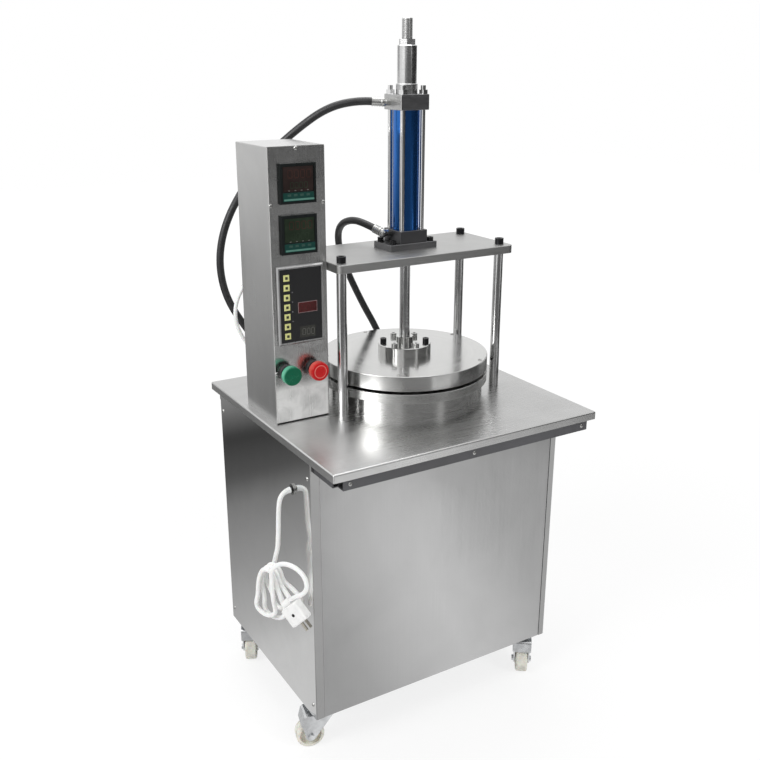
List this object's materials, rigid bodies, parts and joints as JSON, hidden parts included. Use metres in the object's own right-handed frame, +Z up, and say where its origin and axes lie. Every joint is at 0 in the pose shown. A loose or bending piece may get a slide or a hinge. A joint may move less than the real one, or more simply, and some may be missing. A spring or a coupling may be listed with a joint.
{
  "type": "hydraulic tortilla press",
  "caption": "Floor-standing hydraulic dough press: steel cabinet on swivel casters, worktop, control box, columns, top plate and a tie-rod cylinder that lowers a round heated platen.",
  "frame": {"origin": "on the floor under the middle of the table", "axes": "+Z up, -Y towards the operator, -X towards the control box"},
  "size_m": [0.6937, 0.568, 1.3993],
  "materials": {
    "corner_posts": "grey primed steel angle",
    "base_plate": "grey primed steel sheet",
    "front_panel": "satin brushed stainless steel",
    "left_panel": "mirror-polished stainless steel",
    "right_panel": "mirror-polished stainless steel",
    "rear_panel": "satin brushed stainless steel",
    "table_top": "fine brushed stainless steel",
    "table_rails": "dark grey painted steel tube",
    "case_screws": "bright zinc-plated steel",
    "control_box_shell": "satin brushed stainless steel",
    "control_box_front": "satin brushed stainless steel",
    "temperature_controllers": "black moulded plastic",
    "keypad_unit": "light grey moulded plastic with a film face",
    "button_collars": "black moulded plastic",
    "start_button": "green moulded plastic",
    "stop_button": "red moulded plastic",
    "stop_button_stem": "black moulded plastic",
    "lower_platen_drum": "mirror-polished stainless steel",
    "lower_platen": "satin brushed stainless steel",
    "lower_heater": "dark mica-clad heater",
    "upper_platen": "satin machined aluminium",
    "upper_heater": "dark mica-clad heater",
    "upper_platen_cover": "mirror-polished stainless steel",
    "cover_screws": "bright zinc-plated steel",
    "ram_hub": "turned steel",
    "hub_screws": "black oxide steel",
    "piston_rod": "bright ground and chromed steel",
    "stop_nut": "bright zinc-plated steel",
    "columns": "bright ground and chromed steel",
    "column_bolts": "black oxide steel",
    "top_plate": "matt ground steel plate",
    "cylinder_flange": "dark grey painted steel",
    "flange_bolts": "black oxide steel",
    "lower_cylinder_head": "dark grey painted steel",
    "cylinder_tube": "gloss blue enamel",
    "upper_cylinder_head": "dark grey painted steel",
    "tie_rods": "bright ground and chromed steel",
    "rod_gland": "bright zinc-plated steel",
    "stop_sleeve": "bright ground and chromed steel",
    "hose_fittings": "bright zinc-plated steel",
    "upper_hose": "matt black rubber",
    "lower_hose": "matt black rubber",
    "signal_cable": "white cable sheath",
    "cable_grommets": "matt black rubber",
    "mains_cord": "white cord sheath",
    "cord_hank": "white cord sheath",
    "cord_tail": "white cord sheath",
    "mains_plug": "white moulded plastic",
    "caster_plates": "bright zinc-plated steel",
    "oil_tank": "blue painted steel",
    "pump_motor": "grey painted cast aluminium",
    "valve_block": "black phosphated iron",
    "caster_fork_front_left": "bright zinc-plated steel",
    "caster_wheel_front_left": "off-white nylon",
    "caster_fork_front_right": "bright zinc-plated steel",
    "caster_wheel_front_right": "off-white nylon",
    "caster_fork_rear_left": "bright zinc-plated steel",
    "caster_wheel_rear_left": "off-white nylon",
    "caster_fork_rear_right": "bright zinc-plated steel",
    "caster_wheel_rear_right": "off-white nylon"
  },
  "bodies": {
    "stand": {"corner_posts": "corner_posts", "base_plate": "base_plate", "front_panel": "front_panel", "left_panel": "left_panel", "right_panel": "right_panel", "rear_panel": "rear_panel", "table_top": "table_top", "table_rails": "table_rails", "case_screws": "case_screws", "control_box_shell": "control_box_shell", "control_box_front": "control_box_front", "temperature_controllers": "temperature_controllers", "keypad_unit": "keypad_unit", "button_collars": "button_collars", "lower_platen_drum": "lower_platen_drum", "lower_platen": "lower_platen", "lower_heater": "lower_heater", "columns": "columns", "column_bolts": "column_bolts", "top_plate": "top_plate", "cylinder_flange": "cylinder_flange", "flange_bolts": "flange_bolts", "lower_cylinder_head": "lower_cylinder_head", "cylinder_tube": "cylinder_tube", "upper_cylinder_head": "upper_cylinder_head", "tie_rods": "tie_rods", "rod_gland": "rod_gland", "stop_sleeve": "stop_sleeve", "hose_fittings": "hose_fittings", "upper_hose": "upper_hose", "lower_hose": "lower_hose", "signal_cable": "signal_cable", "cable_grommets": "cable_grommets", "mains_cord": "mains_cord", "cord_hank": "cord_hank", "cord_tail": "cord_tail", "mains_plug": "mains_plug", "caster_plates": "caster_plates", "oil_tank": "oil_tank", "pump_motor": "pump_motor", "valve_block": "valve_block"},
    "ram": {"upper_platen": "upper_platen", "upper_heater": "upper_heater", "upper_platen_cover": "upper_platen_cover", "cover_screws": "cover_screws", "ram_hub": "ram_hub", "hub_screws": "hub_screws", "piston_rod": "piston_rod"},
    "stop_nut": {"stop_nut": "stop_nut"},
    "start_button": {"start_button": "start_button"},
    "stop_stem": {"stop_button_stem": "stop_button_stem"},
    "stop_head": {"stop_button": "stop_button"},
    "fork_front_left": {"caster_fork_front_left": "caster_fork_front_left"},
    "wheel_front_left": {"caster_wheel_front_left": "caster_wheel_front_left"},
    "fork_front_right": {"caster_fork_front_right": "caster_fork_front_right"},
    "wheel_front_right": {"caster_wheel_front_right": "caster_wheel_front_right"},
    "fork_rear_left": {"caster_fork_rear_left": "caster_fork_rear_left"},
    "wheel_rear_left": {"caster_wheel_rear_left": "caster_wheel_rear_left"},
    "fork_rear_right": {"caster_fork_rear_right": "caster_fork_rear_right"},
    "wheel_rear_right": {"caster_wheel_rear_right": "caster_wheel_rear_right"}
  },
  "joints": [
    {"name": "ram_slide", "type": "slide", "parent": "stand", "child": "ram", "axis": [0, 0, 1], "range_m": [0, 0.14]},
    {"name": "stop_nut_turn", "type": "hinge", "parent": "ram", "child": "stop_nut", "pos_m": [0.04, 0.028, 1.3563], "axis": [0, 0, 1], "continuous": true},
    {"name": "start_button_press", "type": "slide", "parent": "stand", "child": "start_button", "axis": [0, 1, 0], "range_m": [0, 0.005], "stiffness_N_per_m": 800},
    {"name": "stop_button_press", "type": "slide", "parent": "stand", "child": "stop_stem", "axis": [0, 1, 0], "range_m": [0, 0.004], "stiffness_N_per_m": 1000},
    {"name": "stop_button_twist", "type": "hinge", "parent": "stop_stem", "child": "stop_head", "pos_m": [-0.2015, -0.043, 0.7614], "axis": [0, 1, 0], "range_deg": [0, 40], "stiffness_Nm_per_rad": 0.15},
    {"name": "swivel_front_left", "type": "hinge", "parent": "stand", "child": "fork_front_left", "pos_m": [-0.2635, -0.15, 0.078], "axis": [0, 0, 1], "continuous": true},
    {"name": "roll_front_left", "type": "hinge", "parent": "fork_front_left", "child": "wheel_front_left", "pos_m": [-0.28958, -0.14301, 0.029], "axis": [-0.2588, -0.9659, 0], "continuous": true},
    {"name": "swivel_front_right", "type": "hinge", "parent": "stand", "child": "fork_front_right", "pos_m": [0.254, -0.15, 0.078], "axis": [0, 0, 1], "continuous": true},
    {"name": "roll_front_right", "type": "hinge", "parent": "fork_front_right", "child": "wheel_front_right", "pos_m": [0.23738, -0.17128, 0.029], "axis": [0.788, -0.6157, 0], "continuous": true},
    {"name": "swivel_rear_left", "type": "hinge", "parent": "stand", "child": "fork_rear_left", "pos_m": [-0.2635, 0.212, 0.078], "axis": [0, 0, 1], "continuous": true},
    {"name": "roll_rear_left", "type": "hinge", "parent": "fork_rear_left", "child": "wheel_rear_left", "pos_m": [-0.27512, 0.18763, 0.029], "axis": [0.9026, -0.4305, 0], "continuous": true},
    {"name": "swivel_rear_right", "type": "hinge", "parent": "stand", "child": "fork_rear_right", "pos_m": [0.254, 0.212, 0.078], "axis": [0, 0, 1], "continuous": true},
    {"name": "roll_rear_right", "type": "hinge", "parent": "fork_rear_right", "child": "wheel_rear_right", "pos_m": [0.28008, 0.20501, 0.029], "axis": [0.2588, 0.9659, 0], "continuous": true}
  ]
}
